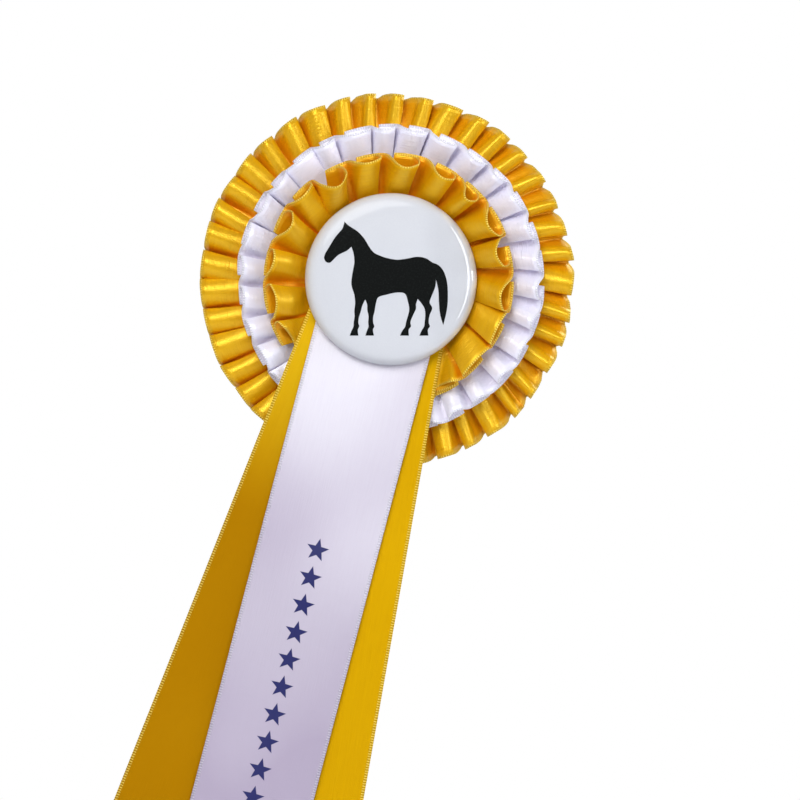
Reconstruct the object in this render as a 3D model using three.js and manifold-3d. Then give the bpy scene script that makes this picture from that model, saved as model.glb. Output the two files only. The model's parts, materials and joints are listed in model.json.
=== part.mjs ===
// A three-tier award rosette: pleated satin rings in gold, white and gold round a button badge,
// with three hanging ribbon tails, on a round backing card with a bar brooch pin.
// Millimetres. +X is to the right seen from the front, +Z is up, -Y is towards the viewer.
// The origin is the centre of the backing card's rear face. "Depth" means distance in front of it.
import * as THREE from "three";
import { ParametricGeometry } from "three/addons/geometries/ParametricGeometry.js";
import { mergeVertices } from "three/addons/utils/BufferGeometryUtils.js";
import Module from "manifold-3d";

const wasm = await Module();
wasm.setup();

// ---- Driving dimensions --------------------------------------------------------------------

const LAYER_GAP = 0.4; // between stacked card layers
const ROUND = 48; // segments of a card disc

// Stacked cards: radius and the depths of the rear and front faces.
const BACKING_CARD = { radius: 36, rear: 0, front: 1.2 };
const OUTER_DISC = { radius: 43, rear: 1.6, front: 3.6 };
const MIDDLE_DISC = { radius: 33, rear: 4.0, front: 6.0 };
const INNER_DISC = { radius: 23.5, rear: 6.4, front: 8.4 };

// Ruffles: a strip of ribbon, sewn down along its inner edge and pleated round the card.
// The part under the next tier lies at the low angle, and the rest flares at the high one.
// Under the tails the pleats are pressed flatter: pressed holds the same values there.
const RIBBON_REACH = 24.5;
const SEWN_HALF = 0.8;
const PRESS_FULL = 50; // degrees either side of straight down
const PRESS_NONE = 72;
const OUTER_RUFFLE = {
  pleats: 41, centre: [0, 0], sewnRadius: 38.6, depth: 4.8, bendAt: 12,
  free: { low: 0, high: -8, half: 2.7 }, pressed: { low: 0, high: -6, half: 2.3 },
};
const MIDDLE_RUFFLE = {
  pleats: 30, centre: [1.2, 0.6], sewnRadius: 27.6, depth: 7.2, bendAt: 10,
  free: { low: 3, high: 22, half: 2.6 }, pressed: { low: 3, high: 5, half: 1.3 },
};
const INNER_RUFFLE = {
  pleats: 20, centre: [0.5, 0.3], sewnRadius: 19.4, depth: 9.8, bendAt: 9,
  free: { low: 8, high: 33, half: 3.4 }, pressed: { low: 4, high: 3, half: 1.2 },
};

// The sewing thread that gathers each ruffle, a ring lying on its sewn edge.
const THREAD_RADIUS = 0.25;
const THREAD_FROM_EDGE = 1.8;
const THREAD_LIFT = 1.5; // above the middle of the sewn edge

// Tails: flat ribbons that start under the badge, in three layers, and fan apart as they hang.
const TAIL_WIDTH = 40;
const TAIL_THICK = 0.5;
const TAIL_TOP = -8;
const TAIL_END = -300;
const TAIL_NOTCH = 16; // depth of the swallowtail cut
const TAIL_LAYER = 0.8; // from one ribbon's middle to the next
const CREASE_GAP = 0.4; // between the fixed head of a tail and its hanging length
// The rearmost tail's line, as [height, depth].
const TAIL_LINE = [
  [TAIL_TOP, 12.2], [-14, 12.2], [-20, 12.2], [-30, 12.6], [-38, 13.1], [-46, 13.4],
  [-62, 13.8], [-100, 14.2], [-160, 14.5], [-230, 14.7], [TAIL_END, 14.8],
];
// fan: degrees the lower end swings to the left; meets: height where its axis crosses x = 0.
const TAILS = [
  { name: "gold_tail_right", layer: 0, fan: -4.7, meets: 31, offset: 0, crease: -38.1, finish: "gold" },
  { name: "gold_tail_left", layer: 1, fan: 6.9, meets: 7, offset: 0, crease: -33.3, finish: "gold" },
  { name: "white_tail", layer: 2, fan: 0, meets: 0, offset: 0.5, crease: -30.6, finish: "white" },
];
const STAPLE = { height: -13, crown: 12, wire: 0.6, front: 15.0, rear: 6.9, clearance: 0.3, cutDepth: 20 };

// Badge: a 57 mm button, glued on by a foam pad, its face turned from the tails' line.
const BADGE_RADIUS = 28.4;
const BADGE_ROUND = 40;
const BADGE_CENTRE = [1.3, 15.3, 0.3]; // x, depth of its rear rim, z
const BADGE_TURN = 14.7; // degrees anticlockwise from the tails' upright
const FILM_THICK = 0.2;
const FILM_GAP = 0.08;
const SHELL_THICK = 0.4;
const SHELL_LIP = 25.6; // radius that the shell's rim is turned in to
const BACK_PLATE = { radius: 26.8, thick: 0.4, lift: 1.1 };
const FOAM_PAD = { radius: 9, height: 5, rear: 8.8, front: 15.9 };

// Bar pin: lies level above the card's centre, behind it, hinge on the left.
const PIN_HEIGHT = 14;
const PIN_BAR = { length: 38, width: 5.2, rear: 1.4, thick: 0.7 };
const PIN_TAPE = { length: 32, width: 6, rear: 0.3, thick: 0.8 };
const NEEDLE_Y = 5.1;
const NEEDLE_RADIUS = 0.4;
const NEEDLE_TAPER = 6;
const HINGE_X = -17;
const EAR = { half: 1.4, inner: 1.1, thick: 0.5, top: 6.5, hole: 0.58 };
const HINGE_PIN = { shank: 0.5, head: 0.95, headThick: 0.4 };
const EYE = { outer: 1.15, inner: 0.58, thick: 0.8 };
const HOUSING = { from: 14.8, to: 17.6, outer: 2.2, inner: 1.78, slot: 25 };
const HOUSING_FOOT = 0.9; // half its width
const SUNK = 0.3; // how far ears and foot are sunk in the bar
const ROTOR = { from: 14.4, to: 18.8, outer: 1.5, inner: 0.8, slot: 40 };
const ROTOR_TAB = { from: 17.9, reach: 3.4, thick: 0.6 };
const NEEDLE_TIP = 18.4;

// ---- Materials -----------------------------------------------------------------------------

const finish = (color, roughness, metalness = 0, more = {}) =>
  new THREE.MeshStandardMaterial({ color, roughness, metalness, ...more });
const FINISHES = {
  gold: finish(0xf0b41e, 0.38),
  white: finish(0xf1eef6, 0.4),
  card: finish(0xd9d2c3, 0.9),
  steel: finish(0xc9ccd0, 0.25, 1),
  paper: finish(0xe6e9f0, 0.6),
  film: finish(0xffffff, 0.05, 0, { transparent: true, opacity: 0.25 }),
  thread: finish(0xf7f3e8, 0.8),
  foam: finish(0xf4f4f2, 0.95),
};

// ---- Helpers -------------------------------------------------------------------------------

const degrees = THREE.MathUtils.degToRad;
const mix = THREE.MathUtils.lerp;

function piece(name, geometry, finishName) {
  const mesh = new THREE.Mesh(geometry, FINISHES[finishName]);
  mesh.name = name;
  return mesh;
}

function solidOf(geometry) {
  const bare = geometry.clone();
  bare.deleteAttribute("normal");
  bare.deleteAttribute("uv");
  const merged = mergeVertices(bare, 1e-4);
  return new wasm.Manifold(new wasm.Mesh({
    numProp: 3,
    vertProperties: merged.attributes.position.array,
    triVerts: new Uint32Array(merged.index.array),
  }));
}

function geometryOf(solid) {
  const mesh = solid.getMesh();
  return new THREE.BufferGeometry()
    .setAttribute("position", new THREE.BufferAttribute(mesh.vertProperties, 3))
    .setIndex(new THREE.BufferAttribute(mesh.triVerts, 1));
}

const joined = (first, ...rest) =>
  geometryOf(rest.reduce((solid, geometry) => solid.add(solidOf(geometry)), solidOf(first)));

const cut = (geometry, cutters) =>
  geometryOf(cutters.reduce((solid, cutter) => solid.subtract(solidOf(cutter)), solidOf(geometry)));

// A box between two corners.
function block([x0, y0, z0], [x1, y1, z1]) {
  return new THREE.BoxGeometry(x1 - x0, y1 - y0, z1 - z0)
    .translate((x0 + x1) / 2, (y0 + y1) / 2, (z0 + z1) / 2);
}

// A ring profile with a slot, pointing along the shape's own +Y, run along X between two places.
function slottedTube({ from, to, outer, inner, slot }) {
  const start = degrees(90 + slot);
  const end = degrees(450 - slot);
  const shape = new THREE.Shape();
  shape.absarc(0, 0, outer, start, end, false);
  shape.absarc(0, 0, inner, end, start, true);
  return new THREE.ExtrudeGeometry(shape, { depth: to - from, bevelEnabled: false, curveSegments: 14 })
    .rotateY(Math.PI / 2)
    .translate(from, NEEDLE_Y, PIN_HEIGHT);
}

// ---- Cards ---------------------------------------------------------------------------------

function cardDisc(name, { radius, rear, front }) {
  const geometry = new THREE.CylinderGeometry(radius, radius, front - rear, ROUND);
  return piece(name, geometry.translate(0, -(rear + front) / 2, 0), "card");
}

// The backing card has an inner ring of edges, so that its rear face has a patch clear of the pin.
function backingCard({ radius, rear, front }) {
  const patch = 9;
  const profile = [[0, -front], [radius, -front], [radius, -rear], [patch, -rear], [0, -rear]];
  const points = profile.map(([r, y]) => new THREE.Vector2(r, y));
  return piece("backing_card", new THREE.LatheGeometry(points, ROUND), "card");
}

// ---- Ruffles -------------------------------------------------------------------------------

// How much the tails press the pleats at an angle, from 0 to 1. The angle is from +X towards +Z.
function pressAt(angle) {
  const fromDown = Math.abs(THREE.MathUtils.euclideanModulo(angle + 270, 360) - 180);
  return 1 - THREE.MathUtils.smoothstep(fromDown, PRESS_FULL, PRESS_NONE);
}

// A ruffle's envelope: a ring with a crest and a valley for each pleat.
function ruffle(name, spec, finishName) {
  const { pleats, centre, sewnRadius, depth, bendAt, free, pressed } = spec;
  const steps = pleats * 2;
  const section = [[0, -1], [bendAt, -1], [RIBBON_REACH, -1], [RIBBON_REACH, 1], [bendAt, 1], [0, 1]];
  const surface = (u, v, target) => {
    const step = Math.round(u * steps) % steps;
    const angle = (360 * step) / steps;
    const press = pressAt(angle);
    const low = degrees(mix(free.low, pressed.low, press));
    const high = degrees(mix(free.high, pressed.high, press));
    const half = mix(free.half, pressed.half, press);
    const [reach, side] = section[Math.round(v * section.length) % section.length];
    const first = Math.min(reach, bendAt);
    const rest = reach - first;
    const tilt = rest > 0 ? high : low;
    const isFrontEdge = rest > 0 && side > 0;
    const valley = isFrontEdge && step % 2 === 1 ? 0.1 : 1;
    const thick = (rest > 0 ? half : SEWN_HALF * (reach > 0 ? 1.3 : 1)) * side * valley;
    const r = sewnRadius + first * Math.cos(low) + rest * Math.cos(high) - thick * Math.sin(tilt);
    const d = depth + first * Math.sin(low) + rest * Math.sin(high) + thick * Math.cos(tilt);
    const a = degrees(angle);
    target.set(centre[0] + r * Math.cos(a), -d, centre[1] + r * Math.sin(a));
  };
  return piece(name, new ParametricGeometry(surface, steps, section.length), finishName);
}

function sewingThread(name, { centre, sewnRadius, depth }) {
  const ring = new THREE.TorusGeometry(sewnRadius + THREAD_FROM_EDGE, THREAD_RADIUS, 4, 36);
  ring.rotateX(Math.PI / 2).translate(centre[0], -depth - THREAD_LIFT, centre[1]);
  return piece(name, ring, "thread");
}

// ---- Tails ---------------------------------------------------------------------------------

const tailLine = new THREE.SplineCurve(TAIL_LINE.map(([z, d]) => new THREE.Vector2(z, d)));
tailLine.arcLengthDivisions = 400;
const TAIL_LENGTH = tailLine.getLength();

// The share of the tail's length at which its line is at a height.
function shareAt(height) {
  let low = 0;
  let high = 1;
  for (let i = 0; i < 30; i++) {
    const middle = (low + high) / 2;
    if (tailLine.getPointAt(middle).x > height) low = middle;
    else high = middle;
  }
  return low;
}

// One stretch of a tail, between two shares of its length, with its end cut to a swallowtail.
function ribbonStretch(from, to, steps, notch) {
  const length = to - from;
  const geometry = new THREE.BoxGeometry(TAIL_WIDTH, TAIL_THICK, 1, 2, 1, steps);
  const position = geometry.attributes.position;
  for (let i = 0; i < position.count; i++) {
    const x = position.getX(i);
    const along = 0.5 - position.getZ(i);
    const middle = 1 - Math.abs(x) / (TAIL_WIDTH / 2);
    const share = from + along * (length - (notch * middle) / TAIL_LENGTH);
    const point = tailLine.getPointAt(share);
    const tangent = tailLine.getTangentAt(share);
    const out = -position.getY(i);
    position.setXYZ(i, x, -(point.y - tangent.x * out), point.x + tangent.y * out);
  }
  return geometry;
}

// A tail in two nodes: the head, stapled down under the badge, and the length that swings.
function tail({ name, layer, fan, meets, offset, crease, finish: finishName }) {
  const heightOnAxis = meets + (crease - meets) / Math.cos(degrees(fan));
  const creaseShare = shareAt(heightOnAxis);
  const halfGap = CREASE_GAP / 2 / TAIL_LENGTH;
  const place = new THREE.Matrix4()
    .makeTranslation(offset, -layer * TAIL_LAYER, meets)
    .multiply(new THREE.Matrix4().makeRotationY(degrees(fan)))
    .multiply(new THREE.Matrix4().makeTranslation(0, 0, -meets));
  const head = ribbonStretch(0, creaseShare - halfGap, 4, 0).applyMatrix4(place);
  const hanging = ribbonStretch(creaseShare + halfGap, 1, 12, TAIL_NOTCH).applyMatrix4(place);
  return [
    piece(name + "_head", cut(head, stapleHoles()), finishName),
    piece(name, hanging, finishName),
  ];
}

function staple() {
  const { height, crown, wire, front, rear } = STAPLE;
  const half = crown / 2;
  const bar = block([-half, -front, height - wire / 2], [half, -front + wire, height + wire / 2]);
  const legs = [-half, half - wire].map((x) =>
    block([x, -front, height - wire / 2], [x + wire, -rear, height + wire / 2]));
  return piece("tail_staple", joined(bar, ...legs), "steel");
}

function stapleHoles() {
  const { height, crown, wire, clearance, cutDepth } = STAPLE;
  const half = crown / 2;
  const reach = wire / 2 + clearance;
  return [-half + wire / 2, half - wire / 2].map((x) =>
    block([x - reach, -cutDepth, height - reach], [x + reach, 0, height + reach]));
}

// ---- Badge ---------------------------------------------------------------------------------

// The outside of the pressed shell, from its middle to its rim, as [radius, height above the rim].
const BADGE_FACE = [[0, 5.3], [14, 5.1], [22, 4.6], [26, 3.6], [27.8, 2.2], [BADGE_RADIUS, 0.9]];

// The face moved outwards by a distance, following its slope.
function faceOffset(distance) {
  return BADGE_FACE.map(([r, h], i) => {
    const before = BADGE_FACE[Math.max(i - 1, 0)];
    const after = BADGE_FACE[Math.min(i + 1, BADGE_FACE.length - 1)];
    const slope = new THREE.Vector2(after[0] - before[0], after[1] - before[1]).normalize();
    return new THREE.Vector2(i ? r - slope.y * distance : 0, h + slope.x * distance);
  });
}

// A cap between two offsets of the face. Its rim can be finished with more points.
function faceShell(inside, outside, rim = []) {
  const edge = rim.map(([r, h]) => new THREE.Vector2(r, h));
  const profile = [...faceOffset(inside), ...edge, ...faceOffset(outside).reverse()];
  return new THREE.LatheGeometry(profile, BADGE_ROUND);
}

function badge() {
  const print = FILM_GAP;
  const film = print + FILM_THICK + FILM_GAP;
  const group = new THREE.Group();
  const lip = [
    [BADGE_RADIUS - SHELL_THICK, SHELL_THICK], [SHELL_LIP, SHELL_THICK], [SHELL_LIP, 0], [BADGE_RADIUS, 0],
  ];
  group.add(piece("badge_shell", faceShell(-SHELL_THICK, 0, lip), "steel"));
  group.add(piece("badge_print", faceShell(print, print + FILM_THICK), "paper"));
  group.add(piece("badge_film", faceShell(film, film + FILM_THICK), "film"));
  const { radius, thick, lift } = BACK_PLATE;
  const plate = new THREE.CylinderGeometry(radius, radius, thick, BADGE_ROUND).translate(0, lift, 0);
  group.add(piece("badge_back_plate", plate, "steel"));
  // The badge is built facing its own +Y, and turned to face the viewer.
  const [x, depth, z] = BADGE_CENTRE;
  group.position.set(x, -depth, z);
  group.rotation.set(Math.PI, degrees(BADGE_TURN), 0);
  return group;
}

function foamPad() {
  const { radius, height, rear, front } = FOAM_PAD;
  const geometry = new THREE.CylinderGeometry(radius, radius, front - rear, 24);
  return piece("badge_foam_pad", geometry.translate(BADGE_CENTRE[0], -(rear + front) / 2, height), "foam");
}

// ---- Bar pin -------------------------------------------------------------------------------

function pinTape() {
  const { length, width, rear, thick } = PIN_TAPE;
  const low = [-length / 2, rear, PIN_HEIGHT - width / 2];
  const high = [length / 2, rear + thick, PIN_HEIGHT + width / 2];
  return piece("pin_foam_tape", block(low, high), "foam");
}

// The stamped bar: a strip with round ends, two hinge ears and the catch's housing on a foot.
function pinBar() {
  const { length, width, rear, thick } = PIN_BAR;
  const top = rear + thick;
  const radius = width / 2;
  const straight = length / 2 - radius;
  const outline = new THREE.Shape();
  outline.absarc(straight, 0, radius, -Math.PI / 2, Math.PI / 2, false);
  outline.absarc(-straight, 0, radius, Math.PI / 2, (Math.PI * 3) / 2, false);
  const strip = new THREE.ExtrudeGeometry(outline, { depth: thick, bevelEnabled: false, curveSegments: 8 })
    .rotateX(-Math.PI / 2)
    .translate(0, rear, PIN_HEIGHT);
  const foot = block(
    [HOUSING.from, top - SUNK, PIN_HEIGHT - HOUSING_FOOT],
    [HOUSING.to, NEEDLE_Y - (HOUSING.inner + HOUSING.outer) / 2, PIN_HEIGHT + HOUSING_FOOT],
  );
  const ears = [-EAR.inner - EAR.thick, EAR.inner].map((z) => hingeEar(top - SUNK, PIN_HEIGHT + z));
  return piece("pin_bar", joined(strip, foot, slottedTube(HOUSING), ...ears), "steel");
}

function hingeEar(base, z) {
  const shape = new THREE.Shape();
  const shoulder = EAR.top - EAR.half;
  shape.moveTo(HINGE_X - EAR.half, base);
  shape.lineTo(HINGE_X + EAR.half, base);
  shape.lineTo(HINGE_X + EAR.half, shoulder);
  shape.absarc(HINGE_X, shoulder, EAR.half, 0, Math.PI, false);
  shape.holes.push(new THREE.Path().absarc(HINGE_X, NEEDLE_Y, EAR.hole, 0, Math.PI * 2, true));
  return new THREE.ExtrudeGeometry(shape, { depth: EAR.thick, bevelEnabled: false, curveSegments: 8 })
    .translate(0, 0, z);
}

function hingePin() {
  const { shank, head, headThick } = HINGE_PIN;
  const inside = EAR.inner + EAR.thick + 0.1;
  const half = [[0, 0], [head, 0], [head, headThick], [shank, headThick]];
  const outside = inside + headThick;
  const lower = half.map(([r, h]) => [r, h - outside]);
  const upper = half.map(([r, h]) => [r, outside - h]).reverse();
  const points = [...lower, ...upper].map(([r, h]) => new THREE.Vector2(r, h));
  const geometry = new THREE.LatheGeometry(points, 14).rotateX(Math.PI / 2);
  return piece("hinge_pin", geometry.translate(HINGE_X, NEEDLE_Y, PIN_HEIGHT), "steel");
}

function needle() {
  const eyeShape = new THREE.Shape().absarc(0, 0, EYE.outer, 0, Math.PI * 2, false);
  eyeShape.holes.push(new THREE.Path().absarc(0, 0, EYE.inner, 0, Math.PI * 2, true));
  const eye = new THREE.ExtrudeGeometry(eyeShape, { depth: EYE.thick, bevelEnabled: false, curveSegments: 8 })
    .translate(HINGE_X, NEEDLE_Y, PIN_HEIGHT - EYE.thick / 2);
  const start = HINGE_X + (EYE.inner + EYE.outer) / 2;
  const r = NEEDLE_RADIUS;
  const shoulder = NEEDLE_TIP - NEEDLE_TAPER;
  const profile = [[0, start], [r, start], [r, shoulder], [r * 0.2, NEEDLE_TIP], [0, NEEDLE_TIP]];
  const wire = new THREE.LatheGeometry(profile.map(([x, y]) => new THREE.Vector2(x, y)), 10)
    .rotateZ(-Math.PI / 2)
    .translate(0, NEEDLE_Y, PIN_HEIGHT);
  return piece("pin_needle", joined(eye, wire), "steel");
}

function catchRotor() {
  const tab = block(
    [ROTOR_TAB.from, NEEDLE_Y - ROTOR_TAB.thick / 2, PIN_HEIGHT - ROTOR_TAB.reach],
    [ROTOR.to, NEEDLE_Y + ROTOR_TAB.thick / 2, PIN_HEIGHT - (ROTOR.outer + ROTOR.inner) / 2],
  );
  return piece("catch_rotor", joined(slottedTube(ROTOR), tab), "steel");
}

// ---- Assembly ------------------------------------------------------------------------------

const rosette = new THREE.Group();
rosette.add(backingCard(BACKING_CARD));
rosette.add(cardDisc("outer_card_disc", OUTER_DISC));
rosette.add(cardDisc("middle_card_disc", MIDDLE_DISC));
const innerDisc = cardDisc("inner_card_disc", INNER_DISC);
innerDisc.geometry = cut(innerDisc.geometry, stapleHoles());
rosette.add(innerDisc);
rosette.add(ruffle("outer_ruffle", OUTER_RUFFLE, "gold"));
rosette.add(ruffle("middle_ruffle", MIDDLE_RUFFLE, "white"));
rosette.add(ruffle("inner_ruffle", INNER_RUFFLE, "gold"));
rosette.add(sewingThread("outer_thread", OUTER_RUFFLE));
rosette.add(sewingThread("middle_thread", MIDDLE_RUFFLE));
rosette.add(sewingThread("inner_thread", INNER_RUFFLE));
for (const spec of TAILS) rosette.add(...tail(spec));
rosette.add(staple(), foamPad(), badge());
rosette.add(pinTape(), pinBar(), hingePin(), needle(), catchRotor());

export default rosette;
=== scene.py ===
# %% [markdown]
# # A three-tier award rosette
# The rosette is ribbon work: three pleated rings of satin, a button badge in the middle, and
# three tails that hang from under it. The hard parts come ready-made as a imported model, in the
# same frame as everything here: +Z is up, -Y is the face that is seen, and a length is in metres.
# This script keeps the small hard parts, and replaces every soft or glossy one by a finer piece.

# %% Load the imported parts
import json
import math
import bmesh
import bpy
import numpy as np
from mathutils import Matrix, Vector


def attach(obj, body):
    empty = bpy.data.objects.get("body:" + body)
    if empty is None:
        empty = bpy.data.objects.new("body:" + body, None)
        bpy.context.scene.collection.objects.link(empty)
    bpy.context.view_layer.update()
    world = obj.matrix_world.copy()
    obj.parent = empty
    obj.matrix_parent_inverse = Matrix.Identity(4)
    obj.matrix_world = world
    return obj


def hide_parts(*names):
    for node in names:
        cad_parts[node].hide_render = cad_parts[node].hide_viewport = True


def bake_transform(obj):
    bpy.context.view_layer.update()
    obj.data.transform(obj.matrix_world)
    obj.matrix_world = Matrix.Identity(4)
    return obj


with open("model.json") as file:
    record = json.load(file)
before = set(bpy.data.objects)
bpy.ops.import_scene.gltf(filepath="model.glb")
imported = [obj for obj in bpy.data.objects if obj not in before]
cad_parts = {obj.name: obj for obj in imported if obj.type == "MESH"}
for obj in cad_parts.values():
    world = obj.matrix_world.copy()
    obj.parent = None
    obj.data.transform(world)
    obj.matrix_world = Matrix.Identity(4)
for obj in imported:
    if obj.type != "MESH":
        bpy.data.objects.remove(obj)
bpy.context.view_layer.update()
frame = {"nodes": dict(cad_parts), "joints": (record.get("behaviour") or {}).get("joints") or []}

MM = 0.001

# %% [markdown]
# ## A way to write shaders as sums
# A node tree is easier to read as arithmetic. The class below holds one socket. Adding, taking
# away, multiplying or dividing it adds a Math node, and `node` adds a node of any other kind: its
# settings are set first, and then the values or links of its sockets. The last few methods are
# short names for the nodes that this object's finishes use most.

# %% The socket class
class Wire:
    """One output socket of a node tree, that arithmetic can be done on."""

    def __init__(self, tree, socket=None):
        self.tree = tree
        self.socket = socket

    def node(self, kind, settings=None, sockets=None, output=0):
        made = self.tree.nodes.new(kind)
        for key, value in (settings or {}).items():
            setattr(made, key, value)
        for key, value in (sockets or {}).items():
            if isinstance(value, Wire):
                self.tree.links.new(value.socket, made.inputs[key])
            else:
                made.inputs[key].default_value = value
        return Wire(self.tree, made.outputs[output])

    def math(self, operation, *values):
        return self.node("ShaderNodeMath", {"operation": operation}, dict(enumerate(values)))

    def __add__(self, other):
        return self.math("ADD", self, other)

    def __radd__(self, other):
        return self.math("ADD", other, self)

    def __sub__(self, other):
        return self.math("SUBTRACT", self, other)

    def __rsub__(self, other):
        return self.math("SUBTRACT", other, self)

    def __mul__(self, other):
        return self.math("MULTIPLY", self, other)

    def __rmul__(self, other):
        return self.math("MULTIPLY", other, self)

    def __truediv__(self, other):
        return self.math("DIVIDE", self, other)

    def part(self, axis):
        """One number of a vector: 0 is its X, 1 its Y and 2 its Z."""
        return self.node("ShaderNodeSeparateXYZ", sockets={0: self}, output=axis)

    def smooth(self, low, high):
        """0 below low, 1 above high, and a smooth step between."""
        return self.node("ShaderNodeMapRange", {"interpolation_type": "SMOOTHSTEP"},
                         {"Value": self, "From Min": low, "From Max": high})

    def mix(self, first, second):
        """The first colour where this is 0, and the second where it is 1."""
        return self.node("ShaderNodeMix", {"data_type": "RGBA"},
                         {"Factor": self, 6: first, 7: second}, output=2)

    def noise(self, scale, detail):
        """Random tones at this place. A larger scale makes a finer grain."""
        return self.node("ShaderNodeTexNoise",
                         sockets={"Vector": self, "Scale": scale, "Detail": detail})

    def bump(self, strength, distance):
        """The normal of a surface that has this as its height."""
        return self.node("ShaderNodeBump",
                         sockets={"Strength": strength, "Distance": distance, "Height": self})

# %% Materials, and objects from a bmesh
def rgb(red, green, blue):
    return (red, green, blue, 1.0)


def material(name, constants, surface=None):
    """A Principled material. Constants go on its sockets, and surface(wire) returns its links."""
    made = bpy.data.materials.new(name)
    made.use_nodes = True
    shader = made.node_tree.nodes["Principled BSDF"]
    for key, value in constants.items():
        shader.inputs[key].default_value = value
    if surface:
        for key, wire in surface(Wire(made.node_tree)).items():
            made.node_tree.links.new(wire.socket, shader.inputs[key])
    made.diffuse_color = constants["Base Color"]
    return made


def object_place(w):
    """Where a point is in the object, in metres, for patterns that run through it."""
    return w.node("ShaderNodeTexCoord", output=3)


def into_scene(name, shape, finish):
    """Makes an object of a bmesh, gives it its material, and frees the bmesh."""
    data = bpy.data.meshes.new(name)
    shape.to_mesh(data)
    shape.free()
    data.materials.append(finish)
    made = bpy.data.objects.new(name, data)
    bpy.context.scene.collection.objects.link(made)
    print(name, "faces:", len(data.polygons))
    return made

# %% [markdown]
# ## The camera
# The rosette is seen square on from far away with a long lens, and the camera is rolled, so that
# the tails run down to the left. The aim is the middle of the view, and the distance follows from
# the lens and from how wide a piece of the world the view should take in.

# %% Camera
ROLL_DEGREES = 14.7
ROLL = math.radians(ROLL_DEGREES)
LENS = 150  # mm
SENSOR = 36  # mm
VIEW_WIDTH = 269.6 * MM
AIM = Vector((14.5, -9, -38.1)) * MM
right = Vector((math.cos(ROLL), 0, math.sin(ROLL)))
up = Vector((-math.sin(ROLL), 0, math.cos(ROLL)))
towards_viewer = Vector((0, -1, 0))


def facing(place, target, roll_up=Vector((0, 0, 1))):
    """A matrix that puts something at a place, looking at a target along its own -Z."""
    back = (place - target).normalized()
    side = roll_up.cross(back).normalized()
    turned = Matrix((side, back.cross(side), back)).transposed().to_4x4()
    return Matrix.Translation(place) @ turned


camera_data = bpy.data.cameras.new("camera")
camera_data.lens = LENS
camera_data.sensor_width = SENSOR
camera = bpy.data.objects.new("camera", camera_data)
bpy.context.scene.collection.objects.link(camera)
distance = VIEW_WIDTH * LENS / SENSOR
camera.matrix_world = facing(AIM + towards_viewer * distance, AIM, up)
bpy.context.scene.camera = camera
bpy.context.scene.view_settings.view_transform = "Standard"
print("camera distance (m):", round(distance, 3))

# %% [markdown]
# ## The light
# Satin shows what it reflects, so the lights are large and soft. The key light stands at the upper
# left and models the pleats. A low one lights the loops from below. A tall strip on the right
# draws the pale crescent on the badge, a small one far to the side catches the pleats' edges, and
# one behind lights the back. The world is dark in front, which keeps the gold deep, and pale
# behind. The camera itself sees it as plain white. The floor is a pale disc below the tails' ends.

# %% Lights
LIT_POINT = Vector((0, 0, -0.05))


def soft_light(name, place, width, height, power, colour=(1, 1, 1)):
    data = bpy.data.lights.new(name, "AREA")
    data.shape = "ELLIPSE"
    data.size = width
    data.size_y = height
    data.energy = power
    data.color = colour
    light = bpy.data.objects.new(name, data)
    bpy.context.scene.collection.objects.link(light)
    light.matrix_world = facing(Vector(place), LIT_POINT)
    print("light", name, power, "W")


soft_light("key", towards_viewer * 0.80 - right * 0.16 + up * 0.40,
           0.55, 0.55, 6.3, (1, 0.985, 0.96))
soft_light("low", towards_viewer * 0.55 - up * 0.75 + right * 0.1,
           0.35, 0.35, 4.0, (0.98, 0.98, 1))
soft_light("strip", towards_viewer * 0.75 + right * 0.52 + up * 0.12,
           0.25, 0.8, 2.0, (0.95, 0.97, 1))
soft_light("side", towards_viewer * 0.22 + right * 0.85 + up * 0.15,
           0.3, 0.3, 2.2, (0.93, 0.95, 1))
soft_light("rear", (0.5, 0.9, 0.6), 0.6, 0.6, 4.0)

# %% World and floor
FLOOR_RADIUS = 0.55  # metres
FLOOR_HEIGHT = -0.318  # metres, a little below the tails' ends

world = bpy.data.worlds.new("world")
bpy.context.scene.world = world
world.use_nodes = True
w = Wire(world.node_tree)
direction = w.node("ShaderNodeTexCoord", output=0)
front_to_back = direction.part(1).smooth(-0.4, 0.6)
tone = front_to_back.mix(rgb(0.22, 0.23, 0.27), rgb(0.75, 0.75, 0.76))
seen_by_camera = w.node("ShaderNodeLightPath", output=0)
backdrop = seen_by_camera.mix(tone, rgb(1, 1, 1))
world.node_tree.links.new(backdrop.socket, world.node_tree.nodes["Background"].inputs["Color"])

disc = bmesh.new()
bmesh.ops.create_circle(disc, cap_ends=True, segments=96, radius=FLOOR_RADIUS)
bmesh.ops.translate(disc, verts=disc.verts, vec=(0, 0, FLOOR_HEIGHT))
pale = material("floor", {"Base Color": rgb(0.86, 0.86, 0.87), "Roughness": 0.9})
floor = into_scene("floor", disc, pale)

# %% [markdown]
# ## Ribbon as cloth
# Satin ribbon is woven so that the threads of the warp float on the face: it shines along them.
# Both of its long edges are a selvedge, a row of tiny picot stitches. The colour and the bumps
# are worked out from the ribbon's own map, which gives the length along it and the way across,
# both in millimetres, so that the stitches keep their size on every ribbon, pleated or flat.
# The attribute called fold holds painted shade: how far a point's colour goes over to a darker,
# redder fold colour, deep in a fold and near the sewn edge. Light that has gone from wall to
# wall in a fold of gold satin comes out redder, and this painted fold shade stands for that.

# %% The weave
STITCH = 0.85  # mm from one picot to the next
SELVEDGE = (1.0, 1.25)  # mm from the edge, where the stitches turn into satin
TWILL = 0.7  # mm from one slanting line of the weave to the next


def woven(w, along, across):
    """The fine threads, the thicker yarns among them and the slanting lines, each 0 to 1."""
    drawn_out = w.node("ShaderNodeCombineXYZ", sockets={0: along * 0.14, 1: across * 2.6, 2: 0.0})
    thread = drawn_out.noise(1.0, 2.0)
    slub = drawn_out.noise(0.35, 1.0)
    twill = w.math("SINE", (along + across * 0.8) * (2 * math.pi / TWILL)) * 0.5 + 0.5
    return thread, slub, twill


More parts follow.
